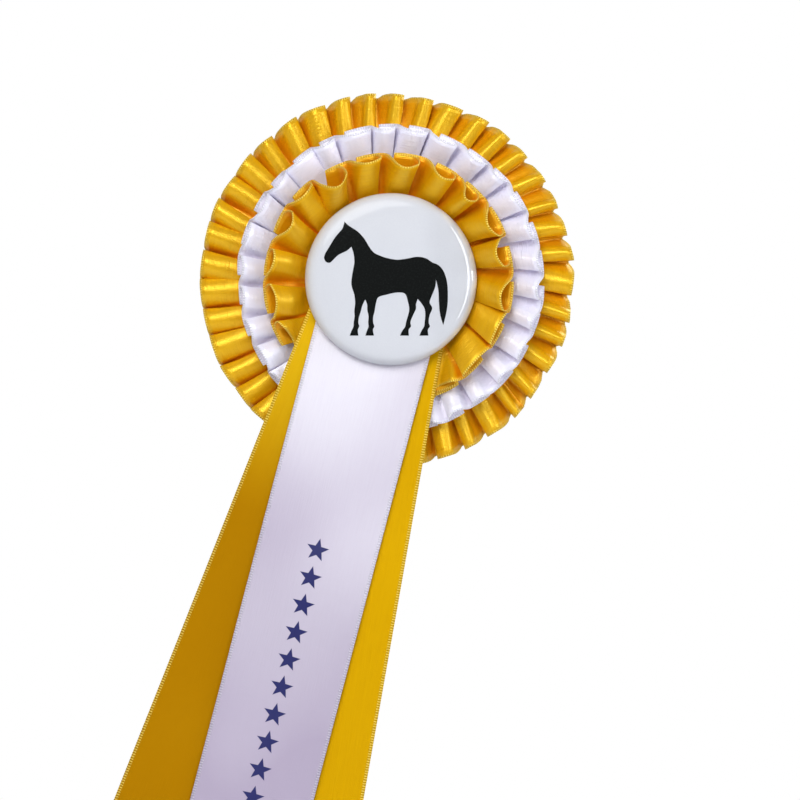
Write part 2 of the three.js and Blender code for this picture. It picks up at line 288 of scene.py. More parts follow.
def stitches(w, along, across, width):
    """1 in the selvedge along both edges, and 1 on each picot."""
    from_edge = w.math("MINIMUM", across, width - across)
    selvedge = 1 - from_edge.smooth(*SELVEDGE)
    wave = w.math("SINE", along * (2 * math.pi / STITCH)) * 0.5 + 0.5
    return selvedge, wave.smooth(0.25, 0.75)

# %% Satin
def satin(name, body, deep, fold, shade, edge, gleam, width, roughness, shine=0.0, ior=1.8,
          level=1.0, grain=1.0, shade_patches=0.0, stitching=1.0, shade_drift=0.0, fully_shaded_at=150, ink=None):
    """Body and deep are the cloth's light and dark threads, fold the colour of the painted shade
    down in the folds, edge that of the stitches, and gleam tints the shine. Shade is the colour of
    painted shade, laid on in slow blotches as much as shade_patches says, and as a darkening down a
    tail as much as shade_drift says, which is full after fully_shaded_at mm. Grain is how coarse
    the weave feels, stitching how much the picots show, and ink a rule for where the ribbon is
    printed."""
    def surface(w):
        uv = w.node("ShaderNodeUVMap", {"uv_map": "ribbon"})
        along = uv.part(0)
        across = uv.part(1)
        folded = w.node("ShaderNodeAttribute", {"attribute_name": "fold"}, output=2)
        thread, slub, twill = woven(w, along, across)
        selvedge, picot = stitches(w, along, across, width)
        lit = (thread - 0.5) * 0.6 + (slub - 0.5) * 0.4 + (twill - 0.5) * 0.10 + 0.62
        colour = lit.smooth(0.1, 0.9).mix(rgb(*deep), rgb(*body))
        # Painted shade: slow blotches, and a darkening down a tail's length, take the colour
        # towards shade.
        shade_patch = uv.noise(0.02, 0.0).smooth(0.3, 0.75)
        shaded = w.math("MINIMUM", shade_patch * shade_patches + along.smooth(0, fully_shaded_at) * shade_drift, 1.0)
        colour = shaded.mix(colour, rgb(*shade))
        # Painted shade: deep in a fold and near the sewn edge, the colour goes over to the redder
        # fold colour.
        colour = folded.mix(colour, rgb(*fold))
        raised = selvedge * picot * 0.85 * stitching * (1 - folded * 0.5)
        colour = raised.mix(colour, rgb(*edge))
        between = selvedge * (1 - picot) * 0.45 * stitching
        colour = between.mix(colour, rgb(*[tone * 0.6 for tone in deep]))
        if ink:
            colour = ink(w, along, across).mix(colour, rgb(*NAVY))
        rough = roughness + (slub - 0.5) * 0.10 + selvedge * 0.2
        relief = (thread * 0.22 + twill * 0.02) * grain + selvedge * (picot * 0.14 + 0.06)
        return {"Base Color": colour, "Roughness": rough, "Normal": relief.bump(1.0, MM)}
    return material(name, {"Base Color": rgb(*body), "Specular IOR Level": level, "IOR": ior,
                           "Metallic": shine, "Specular Tint": rgb(*gleam)}, surface)

# %% [markdown]
# The same gold ribbon gets lighter colours in a pleat and darker copies of them on a tail: the
# tails' darker colours are painted shade, for flat ribbon that shows no shine. The left tail has
# painted light at its top, where it bends over the pleats, and painted shade that deepens down its
# length. A colour that differs in only one or two places is made from the one before it, so that
# what they share stays shared.

# %% The ribbons' colours
# fold is the colour of painted shade in folds; shade that of painted shade in blotches and down a
# tail.
GOLD = dict(body=(0.76, 0.40, 0.002), deep=(0.64, 0.285, 0.001), fold=(0.78, 0.19, 0.0005),
            shade=(0.44, 0.19, 0.001), edge=(1.0, 0.78, 0.16), gleam=(1.0, 0.92, 0.15))
# Painted shade: the tails' gold is a darker copy of the pleats' gold.
SHADED_TAIL_GOLD = dict(GOLD, body=(0.63, 0.345, 0.001), deep=(0.57, 0.295, 0.001),
                 gleam=(1.0, 0.9, 0.04))
# Painted light and shade: the left tail's gold is lighter at its top and darker down its length.
LIT_AND_SHADED_TAIL_GOLD = dict(SHADED_TAIL_GOLD, body=(0.70, 0.42, 0.006), deep=(0.62, 0.35, 0.004),
                shade=(0.385, 0.163, 0.0004))
WHITE = dict(body=(0.88, 0.875, 1.0), deep=(0.83, 0.825, 0.98), fold=(0.80, 0.745, 0.90),
             shade=(0.44, 0.39, 0.50), edge=(0.95, 0.95, 1.0), gleam=(0.94, 0.96, 1.0))
# Painted shade: the tails' white is a darker copy of the pleats' white.
SHADED_TAIL_WHITE = dict(WHITE, body=(0.78, 0.765, 0.83), deep=(0.72, 0.69, 0.77),
                  shade=(0.41, 0.355, 0.47))
NAVY = (0.012, 0.014, 0.11)
PLEATED = 25  # mm, the width of the ribbon in the rings
TAIL = 40  # mm, the width of a tail
HANGING = dict(width=TAIL, roughness=0.42, ior=1.4, level=0.6, grain=0.3)

gold_pleats = satin("gold satin, narrow", width=PLEATED, roughness=0.33, shine=0.15, grain=0.7,
                    **GOLD)
white_pleats = satin("white satin, narrow", width=PLEATED, roughness=0.30, **WHITE)
# The tails' satin carries painted shade in blotches; the left tail's also darkens down its length.
gold_tail = satin("gold satin, wide", shade_patches=0.1, stitching=0.7, **HANGING, **SHADED_TAIL_GOLD)
lit_and_shaded_gold_tail = satin("gold satin, wide, lit and shaded", shade_patches=0.1, stitching=0.7, shade_drift=1.0, fully_shaded_at=100,
                      **HANGING, **LIT_AND_SHADED_TAIL_GOLD)
print("ribbon widths (mm):", PLEATED, TAIL)

# %% [markdown]
# ## Pleated rings
# Each ring is one long strip of ribbon, folded into knife pleats and sewn down along one edge. A
# pleat has three layers: the front panel that is seen, a layer that runs back under it from the
# rolled fold at its clockwise end, and a third that runs forward again to become the next panel.
#
# One pleat could be modelled and repeated, but then all would be alike. A cloth simulation would
# lose the even spacing that the stitches hold. So a strip is moved by a rule instead, and each
# pleat has a few numbers of its own. The profile of one pleat is given below as points across the
# pleats: how far along the ring, in pitches, and how high in the fold, from 0 at the back to 1 at
# the front.

# %% The pleat's profile
FRONT = (0, 0.1, 0.22, 0.38, 0.54, 0.7, 0.84, 0.94, 1)  # shares of the way across the panel
PLEAT_END = (1.0, 0.02, 0.0, 0.0)


def profile(shape):
    """Points (along, high, tuck, slide) of one pleat. It starts in a recess beside the pleat
    before, rises in a round front as full as the crown says, rolls over, runs back to its back
    fold at a height of hollow, and forward again. The tuck is how much further a point slips back
    under the pleat where the ribbon is gathered, and the slide how much further it moves on where
    the recess gapes at the rim."""
    roll = shape["roll"]
    recess = shape["recess"]
    back = shape["back"]
    hollow = shape["hollow"]
    points = [(0.0, 0.02, 0.0, 0.0), (recess * 0.5, 0.10, 0.0, 0.5)]
    for s in FRONT:
        arch = math.sin(math.pi * (0.07 + 0.80 * s)) ** shape["crown"]
        points.append((recess + (roll - recess) * s, arch, 0.0, 1 - s))
    behind = [
        (roll - 0.03, 0.36, 0.0), (roll - 0.16, hollow + 0.02, 0.2),
        ((roll - 0.16 + back) / 2, hollow, 0.6), (back + 0.05, hollow - 0.03, 0.95),
        (back, hollow * 0.5, 1.0), (back + 0.05, 0.03, 0.95), ((back + 0.9) / 2, 0.0, 0.6),
        (0.88, 0.0, 0.15)]
    return [*points, *[(*point, 0.0) for point in behind], PLEAT_END]


def spline(points, per_span):
    """A smooth line through the points, as a Catmull-Rom spline, each span cut up evenly."""
    p = np.array([points[0], *points, points[-1]])
    out = []
    for a, b, c, d in zip(p, p[1:], p[2:], p[3:]):
        for s in np.arange(per_span) / per_span:
            out.append(0.5 * (2 * b + (c - a) * s + (2 * a - 5 * b + 4 * c - d) * s**2
                              + (3 * b - a - 3 * c + d) * s**3))
    return np.array(out)


def ease(low, high, value):
    """0 below low, 1 above high, and a smooth step between."""
    s = min(max((value - low) / (high - low), 0), 1)
    return s * s * (3 - 2 * s)


def blend_shapes(first, second, share):
    return {key: first[key] + (second[key] - first[key]) * share for key in first}

# %% [markdown]
# ## What the tails press down
# The tails are sewn on over the pleats, so the pleats under them lie flat, and those beside them
# rise again within a few millimetres. The rule below squeezes heights towards a ceiling just
# under the tails. It keeps the layers in their order, so that no layer comes through another.

# %% The tails' line, and the pressing under it
TAIL_LINE = np.array([
    (-8, 12.2), (-14, 12.2), (-20, 12.2), (-30, 12.6), (-38, 13.1), (-46, 13.4),
    (-62, 13.8), (-100, 14.2), (-160, 14.5), (-230, 14.7), (-300, 14.8)])  # mm: height, depth
TAILS_TOP = -8  # mm, where the tails start
FAN = {"left": (6.9, 7), "right": (-4.7, 31)}  # degrees, and the height in mm it turns about
LOWEST_TAIL = 0.7  # mm, the room that the right tail takes, as it lies below the left one
PRESS_EDGE = (0.5, 5.5)  # mm beside the tails, where the pleats rise again


def tail_edge(side, z):
    """Where the outer edge of a gold tail is at a height, in mm."""
    lean, turns_about = FAN[side]
    half = TAIL / 2 if side == "right" else -TAIL / 2
    return half + (z - turns_about) * math.tan(math.radians(lean))


def pressed_height(x, z, height, base):
    """The height that is left of a pleat at x, z (in mm) when it may lie under the tails."""
    if height <= base:
        return height
    beside = max(tail_edge("left", z) - x, x - tail_edge("right", z), z - TAILS_TOP)
    ceiling = np.interp(-z, -TAIL_LINE[:, 0], TAIL_LINE[:, 1]) - (0 if x < 0 else LOWEST_TAIL)
    room = ceiling - base
    squeezed = base + room * (1 - math.exp(-(height - base) / room))
    return height + (squeezed - height) * (1 - ease(*PRESS_EDGE, beside))


print("tail edges at z = -100 mm:", [round(tail_edge(side, -100), 1) for side in FAN])

# %% [markdown]
# ## From a strip to a ring
# The strip starts as a plain grid. Each line across it is moved as one: it starts at the sewn
# edge, and goes outwards in small steps. A step's tilt says how much of it goes forward. Near the
# stitches the layers lie close, and past the bend they stand apart: the higher a layer, the more
# it tilts, so the fold opens at the rim by as much as it does in cloth. No two pleats are folded
# quite alike, so each has random numbers of its own, from a fixed seed.

# %% Lines across the ribbon
UNEVEN_PITCH = 0.07  # of a pitch, from pleat to pleat
UNEVEN_REACH = 0.35  # mm, from pleat to pleat
LINK_WIDTH = 0.09  # of a pitch, the stretch of cloth that links two pleats
FRONT_SPANS = 11  # the spans of the profile that are the pleat's front
BEND_HALF = 0.15  # of the width, half of the stretch in which the ribbon bends forward
TUCK_BACK = 0.6  # of a pitch


def column_at(k, i, point, shape, per_span):
    """One line across the ribbon: where it is in its ring and its fold, and its pleat's shape.
    The link is 1 in the cloth between two pleats, and hidden is 1 deep in the fold."""
    along, high, tuck, slide = point
    from_link = (along + 0.5) % 1 - 0.5
    link = math.exp(-(from_link / LINK_WIDTH) ** 2) if high < 0.45 else 0.0
    if i < FRONT_SPANS * per_span:
        hidden = 1 - ease(0.15, 0.62, high)
    else:
        hidden = 1 - 0.75 * ease(0.0, 0.3, 0.3 - high)
    return dict(place=k + along, high=high, tuck=tuck, slide=slide, link=link, hidden=hidden,
                shape=shape)


def ring_columns(pleats, shape_at, wobble, per_span):
    """All lines across the ribbon, once round the ring, and the first again to close it. The
    second half of a pleat turns slowly into the shape of the next."""
    columns = []
    for k in range(pleats):
        shape = shape_at(360 * (k + 0.5) / pleats, wobble[k])
        after = shape_at(360 * (k + 1.5) / pleats, wobble[(k + 1) % pleats])
        line = spline(profile(shape), per_span)
        for i, point in enumerate(line):
            share = i / len(line)
            own = blend_shapes(shape, after, 0.5 * ease(0.5, 1.0, share)) if share > 0.5 else shape
            columns.append(column_at(k, i, point, own, per_span))
    return [*columns, dict(columns[0], place=columns[0]["place"] + pleats)]

# %% Moving the lines
def ribbon_tilt(column, free):
    """How far forward the ribbon tilts, in radians. Free is 0 where it is sewn, and 1 outside."""
    shape = column["shape"]
    tilt = shape["low"] + (shape["high"] - shape["low"]) * free
    tilt += (shape["open"] * column["high"] * (0.15 + 0.85 * free)
             - shape["drop"] * column["link"] * free)
    return math.radians(tilt)


def fold_shade_at(column, v):
    """How much painted shade a point gets: most deep in a fold, some near the sewn edge, and less
    where a gaping recess is in view. Here v is 0 at the sewn edge and 1 at the rim.
    """
    in_view = min(1, column["shape"]["gape"] * 5) * v * min(1, column["slide"] * 2)
    shade_amount = column["hidden"] * 0.75 * (1 - 0.7 * in_view) + 0.3 * (1 - ease(0.3, 0.7, v))
    return min(1, shade_amount)


def line_across(ring, column, nudge, push):
    """The place and the painted fold shade of each point of one line, from the sewn edge to the
    rim.
    """
    shape = column["shape"]
    bend = ring["bend_at"] / ring["reach"]
    step = ring["reach"] / ring["across"]
    r = ring["sewn"] - shape["shift"] * column["link"]
    d = ring["depth"] + shape["stack"] * column["high"]
    for j in range(ring["across"] + 1):
        v = j / ring["across"]
        if j:
            free = ease(bend - BEND_HALF, bend + BEND_HALF, (j - 0.5) / ring["across"])
            tilt = ribbon_tilt(column, free)
            r += math.cos(tilt) * step
            d += math.sin(tilt) * step
        lean = shape["lean"] * (v - 1) + shape["curve"] * v * (1 - v)
        slip = shape["gape"] * column["slide"] * v - TUCK_BACK * column["tuck"] * (1 - v) ** 2
        angle = 2 * math.pi * (column["place"] + lean + nudge + slip) / ring["pleats"]
        x = ring["centre"][0] + (r + push * v) * math.sin(angle)
        z = ring["centre"][1] + (r + push * v) * math.cos(angle)
        place = Vector((x, -pressed_height(x, z, d, ring["depth"]), z)) * MM
        yield place, fold_shade_at(column, v)

# %% The whole ring
RIBBON_THICK = 0.3  # mm


def lengths_along(rim):
    """How far along the ribbon, in mm, each point of its rim is."""
    lengths = [0.0]
    for before, after in zip(rim, rim[1:]):
        lengths.append(lengths[-1] + (after - before).length / MM)
    return lengths


def map_ring(strip, order, lengths, ring):
    """Gives each corner its place on the flat ribbon, along and across, in mm."""
    step = ring["reach"] / ring["across"]
    number = {vert: i for i, vert in enumerate(order)}
    layer = strip.loops.layers.uv.new("ribbon")
    for face in strip.faces:
        for loop in face.loops:
            c, j = divmod(number[loop.vert], ring["across"] + 1)
            loop[layer].uv = (lengths[c], j * step)


def ribbon_piece(name, strip, cloth):
    """Shades a strip smooth, and gives it the thickness of ribbon."""
    for face in strip.faces:
        face.smooth = True
    piece = into_scene(name, strip, cloth)
    solid = piece.modifiers.new("thickness", "SOLIDIFY")
    solid.thickness = RIBBON_THICK * MM
    solid.offset = 0
    return piece


def pleated_ring(name, cloth, ring, shape_at, seed, per_span=2):
    """shape_at(angle, the pleat's own random numbers) gives the pleat's shape. Angles go
    clockwise from the top, in degrees."""
    pleats = ring["pleats"]
    rng = np.random.default_rng(seed)
    wobble = rng.normal(0, 1, (pleats, 9)).clip(-1.6, 1.6)
    closed = np.vstack([wobble, wobble[:1]])
    columns = ring_columns(pleats, shape_at, wobble, per_span)
    strip = bmesh.new()
    bmesh.ops.create_grid(strip, x_segments=len(columns) - 1, y_segments=ring["across"], size=1)
    # The fold layer holds each point's share of painted shade, for the satin to mix in.
    fold = strip.verts.layers.float.new("fold")
    order = sorted(strip.verts, key=lambda q: (round(q.co.x, 6), q.co.y))
    rows = ring["across"] + 1
    for c, column in enumerate(columns):
        nudge = UNEVEN_PITCH * np.interp(column["place"] % pleats, range(pleats + 1), closed[:, 7])
        push = UNEVEN_REACH * np.interp(column["place"] % pleats, range(pleats + 1), closed[:, 8])
        moved = line_across(ring, column, nudge, push)
        for vert, (place, shade_amount) in zip(order[c * rows:], moved):
            vert.co = place
            vert[fold] = shade_amount
    lengths = lengths_along([vert.co.copy() for vert in order[rows - 1::rows]])
    map_ring(strip, order, lengths, ring)
    bmesh.ops.remove_doubles(strip, verts=strip.verts, dist=1e-7)
    print(name, "ribbon length (mm):", round(lengths[-1]))
    return ribbon_piece(name, strip, cloth), lengths[-1]

# %% [markdown]
# ## The three rings
# The rings differ in how their pleats are laid. The outer ring's are flat and close, the middle
# ring's rise a little, and the inner ring's stand up as round loops that show their hollow ends.
# On the right of the rosette the recesses between the pleats gape, and on the left the pleats
# cover each other, so the shape follows the angle at which a viewer sees the pleat. Each rule
# below turns that angle and a pleat's own random numbers, q, into the numbers of its shape. The
# tilts low, high and open are in degrees, and the drop, shift and stack in mm.

# %% Outer ring
def seen(angle):
    """The angle clockwise from the viewer's upright, in degrees."""
    return (angle + ROLL_DEGREES) % 360


def outer_shape(angle, q):
    """Here bare says how much of the recess beside a pleat shows."""
    a = seen(angle)
    if a > 200:
        bare = 0.7 * ease(290, 350, a)
    else:
        bare = (0.7 + 0.3 * ease(10, 50, a)) * (1 - ease(150, 190, a))
    return dict(
        roll=1.06 - 0.10 * bare + 0.03 * q[0], recess=0.20 + 0.04 * q[1], crown=0.7,
        back=0.42 + 0.03 * q[2], hollow=0.26, gape=0.24 * bare + 0.04 * q[1],
        low=0.0, high=-10.0, open=15.0 + 1.6 * q[3], drop=6 + 3 * bare + 2 * q[4],
        shift=0.3 + 0.6 * bare, stack=1.4, lean=0.28 + 0.10 * q[5], curve=0.15 * q[6])


OUTER = dict(pleats=41, centre=(0, 0), sewn=38.6, depth=4.1, reach=24.5, bend_at=11, across=10)
outer_ring, outer_length = pleated_ring("outer_ring", gold_pleats, OUTER, outer_shape, seed=3)
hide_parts("outer_ruffle")
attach(outer_ring, "rosette")

# %% Middle ring
def under_tails(angle, full, none):
    """1 where the tails press the pleats, within full degrees of straight down, and 0 past none."""
    return 1 - ease(full, none, abs((angle % 360) - 180))


def middle_shape(angle, q):
    a = seen(angle)
    bare = ease(0, 60, a) * (1 - ease(170, 200, a))
    free = dict(
        roll=1.04 - 0.06 * bare + 0.03 * q[0], recess=0.15 + 0.04 * q[1], crown=0.48,
        back=0.42 + 0.05 * q[2], hollow=0.22, gape=0.04 + 0.14 * bare + 0.04 * q[1],
        low=3.0, high=11.0 + 1.0 * q[3], open=22.0 + 2.5 * q[4], drop=0.0, shift=0.0,
        stack=1.4, lean=0.22 + 0.08 * q[5], curve=0.10 * q[6])
    pressed = dict(free, low=2.0, high=2.0, open=8.0)
    return blend_shapes(free, pressed, under_tails(angle, 20, 34))


MIDDLE = dict(pleats=30, centre=(1.2, 0.6), sewn=27.6, depth=6.5, reach=24.5, bend_at=10,
              across=10)
middle_ring, middle_length = pleated_ring("middle_ring", white_pleats, MIDDLE, middle_shape,
                                          seed=5)
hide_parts("middle_ruffle")
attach(middle_ring, "rosette")

# %% Inner ring
def inner_shape(angle, q):
    """The loops stand open at the top and the left, are shut at the right, and lie pressed under
    the tails."""
    a = seen(angle)
    shut = ease(88, 115, a) * (1 - ease(225, 255, a))
    loose = dict(
        roll=1.0 + 0.04 * q[0], recess=0.16 + 0.05 * q[1], crown=0.48,
        back=0.34 + 0.08 * q[2], hollow=0.10, gape=0.06 + 0.06 * q[1],
        low=8.0, high=21.0 + 3.0 * q[3], open=31.0 + 6.0 * q[4], drop=0.0, shift=0.0,
        stack=1.4, lean=0.30 + 0.16 * q[5], curve=0.25 * q[6])
    closed = dict(loose, crown=0.55, high=24.0, open=13.0)
    pressed = dict(closed, low=4.0, high=1.0, open=2.0)
    return blend_shapes(blend_shapes(loose, closed, shut), pressed, under_tails(angle, 26, 40))


INNER = dict(pleats=20, centre=(0.5, 0.3), sewn=18.7, depth=9.1, reach=24.5, bend_at=9, across=12)
inner_ring, inner_length = pleated_ring("inner_ring", gold_pleats, INNER, inner_shape, seed=11,
                                        per_span=3)
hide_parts("inner_ruffle")
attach(inner_ring, "rosette")

# %% [markdown]
# ## Tails
# A tail is flat ribbon, so it starts as a flat grid. A curve with a flat section would also do,
# but a grid can be cut at its end, and its map stays square. Its line is bent over the pleats and
# then hangs, and slow ripples are added to its hanging length. Each tail turns a little about a
# point on its axis, so that the three fan apart. Its end is cut to a swallowtail, so that the
# satin doesn't fray. Its shape is fixed where it hangs, and the imported tail is hidden.

# %% The line that a tail follows
TAIL_NOTCH = 16  # mm, the depth of the swallowtail cut
TAIL_LAYER = 0.8  # mm from one tail to the next one in front

tail_points = spline([tuple(p) for p in TAIL_LINE], 8)
tail_points = np.vstack([tail_points, TAIL_LINE[-1]])
steps_along = np.linalg.norm(np.diff(tail_points, axis=0), axis=1)
run = np.concatenate([[0], np.cumsum(steps_along)])
TAIL_LENGTH = run[-1]
print("tail length (mm):", round(TAIL_LENGTH, 1))

# %% One tail
def own_ripples(s, side, phase):
    """The slow waves that a tail has by itself, s mm down its length."""
    return (math.sin(s / 26 + phase[0] + side * 0.03) * 0.5
            + math.sin(s / 47 + phase[1] - side * 0.05)
            + math.sin(s / 13 + phase[2] + side * 0.11) * 0.18)


def shared_ripples(x, z):
    """The waves that all three tails follow, as they lie on each other."""
    return math.sin(z / 19 + x * 0.035) * 1.1 + math.sin(z / 9 - x * 0.06 + 1) * 0.3


def tail(name, cloth, layer, fan, offset, ripple, seed, across=24, along=150):
    phase = np.random.default_rng(seed).uniform(0, 2 * math.pi, 3)
    strip = bmesh.new()
    bmesh.ops.create_grid(strip, x_segments=across, y_segments=along, size=0.5)
    ribbon_map = strip.loops.layers.uv.new("ribbon")
    lean, turns_about = fan
    turn = Matrix.Rotation(math.radians(lean), 3, "Y")
    flat = {}
    for vert in strip.verts:
        side = vert.co.x * TAIL
        share = 0.5 - vert.co.y
        notch = TAIL_NOTCH * (1 - abs(side) / (TAIL / 2)) * ease(0.6, 1.0, share)
        s = share * TAIL_LENGTH - notch * share
        flat[vert] = (s, side + TAIL / 2)
        z = np.interp(s, run, tail_points[:, 0])
        depth = np.interp(s, run, tail_points[:, 1]) + layer * TAIL_LAYER
        place = turn @ Vector((side, 0, z - turns_about)) + Vector((offset, 0, turns_about))
        wave = ripple * (own_ripples(s, side, phase) + 0.9) + shared_ripples(place.x, place.z)
        depth += ease(30, 110, s) * wave
        vert.co = Vector((place.x, -depth, place.z)) * MM
    for face in strip.faces:
        for loop in face.loops:
            loop[ribbon_map].uv = flat[loop.vert]
    return ribbon_piece(name, strip, cloth)


def hang(piece, body, node, head):
    crease = next(joint for joint in frame["joints"] if joint["name"] == body + "_lift")
    place = Vector(crease["pos_m"])
    down = Vector(crease["axis"]).cross(Vector((0, 1, 0))).normalized()
    down = down if down.z < 0 else -down
    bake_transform(piece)
    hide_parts(node, head)


tail_right = tail("tail_gold_right", gold_tail, layer=0, fan=FAN["right"], offset=0, ripple=0.15,
                  seed=21)
hang(tail_right, "gold_tail_right", "gold_tail_right", "gold_tail_right_head")
tail_left = tail("tail_gold_left", lit_and_shaded_gold_tail, layer=1, fan=FAN["left"], offset=0, ripple=0.2,
                 seed=22)
hang(tail_left, "gold_tail_left", "gold_tail_left", "gold_tail_left_head")

# %% [markdown]
# ## The printed tail
# The white tail is printed on its front. In place of words it carries a column of small stars in
# navy ink. Stars cut from a mesh would lie on the cloth like stickers. A star is worked out in the
# shader instead, by folding the map round its five points until only half of one point is left, so
# the ink lies in the weave and shines as the satin does. The back of the same ribbon is plain, so
# the tail's thickness gives its back a second material.

# %% Stars in the weave
STAR_FIRST = 81.0  # mm down the tail
STAR_PITCH = 9.5
STAR_SIZE = 4.0  # mm from the middle of a star to a tip
STAR_DENT = 0.42  # of the size, from the middle to the dent between two tips
STARS = 19
WEDGE = 2 * math.pi / 5


def stars(w, along, across):
    """1 on the ink: a column of five-pointed stars down the middle of the tail."""
    down = along - STAR_FIRST
    cell = w.math("FLOORED_MODULO", down, STAR_PITCH) - STAR_PITCH / 2
    side = across - TAIL / 2
    radius = w.math("SQRT", cell * cell + side * side)
    angle = w.math("ARCTAN2", side, cell * -1)
    turned = w.math("FLOORED_MODULO", angle + WEDGE / 2, WEDGE) - WEDGE / 2
    folded = w.math("ABSOLUTE", turned)
    x = radius * w.math("COSINE", folded)
    y = radius * w.math("SINE", folded)
    dent_x = STAR_DENT * STAR_SIZE * math.cos(WEDGE / 2)
    dent_y = STAR_DENT * STAR_SIZE * math.sin(WEDGE / 2)
    side_length = math.hypot(dent_y, STAR_SIZE - dent_x)
    outside = (x - STAR_SIZE) * (dent_y / side_length) + y * ((STAR_SIZE - dent_x) / side_length)
    ink = (1 - outside.smooth(-0.08, 0.08)) * down.smooth(-0.1, 0.1)
    last = STARS * STAR_PITCH
    return ink * (1 - down.smooth(last - 0.1, last + 0.1))


# The white tail carries painted shade on both faces: blotches, and a darkening down its length.
printed_tail = satin("white satin, printed", shade_patches=0.35, stitching=0.35, shade_drift=0.8, ink=stars,
                     **HANGING, **SHADED_TAIL_WHITE)
plain_back = satin("white satin, wide", shade_patches=0.35, stitching=0.35, shade_drift=0.4,
                   **HANGING, **SHADED_TAIL_WHITE)
white_tail = tail("tail_white", printed_tail, layer=2, fan=(0, 0), offset=0.5, ripple=0.35,
                  seed=23)
white_tail.data.materials.append(plain_back)
white_tail.modifiers["thickness"].material_offset = 1
hang(white_tail, "white_tail", "white_tail", "white_tail_head")

# %% [markdown]
# ## The badge
# A button badge is a domed disc of tinned steel. Printed paper lies on it, and a clear film over
# that, and all three are pressed round its rim. No bare steel shows from the front, so one piece
# stands for all three. A disc with a bevelled edge would come close, but a section through half of
# the badge, spun round the axis, gives the shallow dome and the rolled rim as they are. The film
# is the coat of its material, and it is glossier to the right, where a lamp is reflected.

# %% Paper under film
BADGE_PLACE = Vector((1.3, -15.3, 0.3)) * MM
GLOSS = (9, 17)  # mm to the right of the badge's middle, where the film's gloss comes up


def paper_surface(w):
    place = object_place(w)
    fibre = place.noise(2600.0, 3.0)
    film = place.noise(90.0, 1.0)
    pale = (fibre * 0.7 + film * 0.3).smooth(0.3, 0.7)
    colour = pale.mix(rgb(0.575, 0.593, 0.635), rgb(0.600, 0.620, 0.655))
    across = (place.part(0) * right.x + place.part(2) * right.z - BADGE_PLACE.dot(right)) / MM
    return {"Base Color": colour, "Roughness": 0.5 + fibre * 0.2,
            "Coat Weight": 0.12 + across.smooth(*GLOSS) * 0.88, "Normal": film.bump(0.15, 0.0001)}


printed_paper = material("badge print under film", {
    "Base Color": rgb(0.66, 0.69, 0.75), "Specular IOR Level": 0.1, "Coat Roughness": 0.04,
    "Coat IOR": 1.9}, paper_surface)
print("badge centre (mm):", [round(c / MM, 1) for c in BADGE_PLACE])

# %% The badge's face
BADGE_RADIUS = 28.8  # mm
RIM_HOLE = 25.8  # mm, the radius inside the rolled rim, at the back
DOME_HEIGHT = 5.3  # mm
SAG = 0.8  # mm, how far the shallow dome falls from its middle to its rim
ROUND_OFF = 3.3  # mm, how much further its edge rolls down
FACE_THICK = 0.7  # mm


def dome(radius):
    """The height of the badge's face at a radius."""
    share = radius / BADGE_RADIUS
    return DOME_HEIGHT - SAG * share**2 - ROUND_OFF * share**26


def spun(name, section, finish, steps=128):
    """Spins a half-section, points (radius, height) in mm, round the badge's axis."""
    made = bmesh.new()
    verts = [made.verts.new(Vector((r, -h, 0)) * MM) for r, h in section]
    edges = [made.edges.new(pair) for pair in zip(verts, verts[1:])]
    bmesh.ops.spin(made, geom=verts + edges, cent=(0, 0, 0), axis=(0, 1, 0), dvec=(0, 0, 0),
                   angle=2 * math.pi, steps=steps, use_merge=True, use_duplicate=False)
    bmesh.ops.remove_doubles(made, verts=made.verts, dist=1e-6)
    bmesh.ops.recalc_face_normals(made, faces=made.faces)
    bmesh.ops.translate(made, verts=made.verts, vec=BADGE_PLACE)
    for face in made.faces:
        face.smooth = True
    return into_scene(name, made, finish)


face_radii = [*np.linspace(0, 24, 16), *np.linspace(24.6, BADGE_RADIUS - 0.25, 14)]
rolled_edge = [(BADGE_RADIUS, 0.75), (BADGE_RADIUS - 0.1, 0.3), (BADGE_RADIUS - 0.5, 0.05)]
back_edge = [(RIM_HOLE, 0.0), (RIM_HOLE, 0.45), (28.0, 0.5), (28.1, 0.9)]
inside = [(r, dome(r) - FACE_THICK) for r in np.linspace(27, 0, 10)]
section = [*[(r, dome(r)) for r in face_radii], *rolled_edge, *back_edge, *inside]
badge = spun("badge_face", section, printed_paper)
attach(badge, "rosette")
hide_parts("badge_print", "badge_film", "badge_shell")

# %% [markdown]
# ## The emblem
# The badge's picture is a plain black horse, standing and facing left. Its outline is drawn here
# as a closed smooth line through a few points, in millimetres, with sharp corners where "c" is
# marked. A shader can't easily follow such a line, so the outline is filled with faces, cut up
# finely, and laid on the dome like ink.

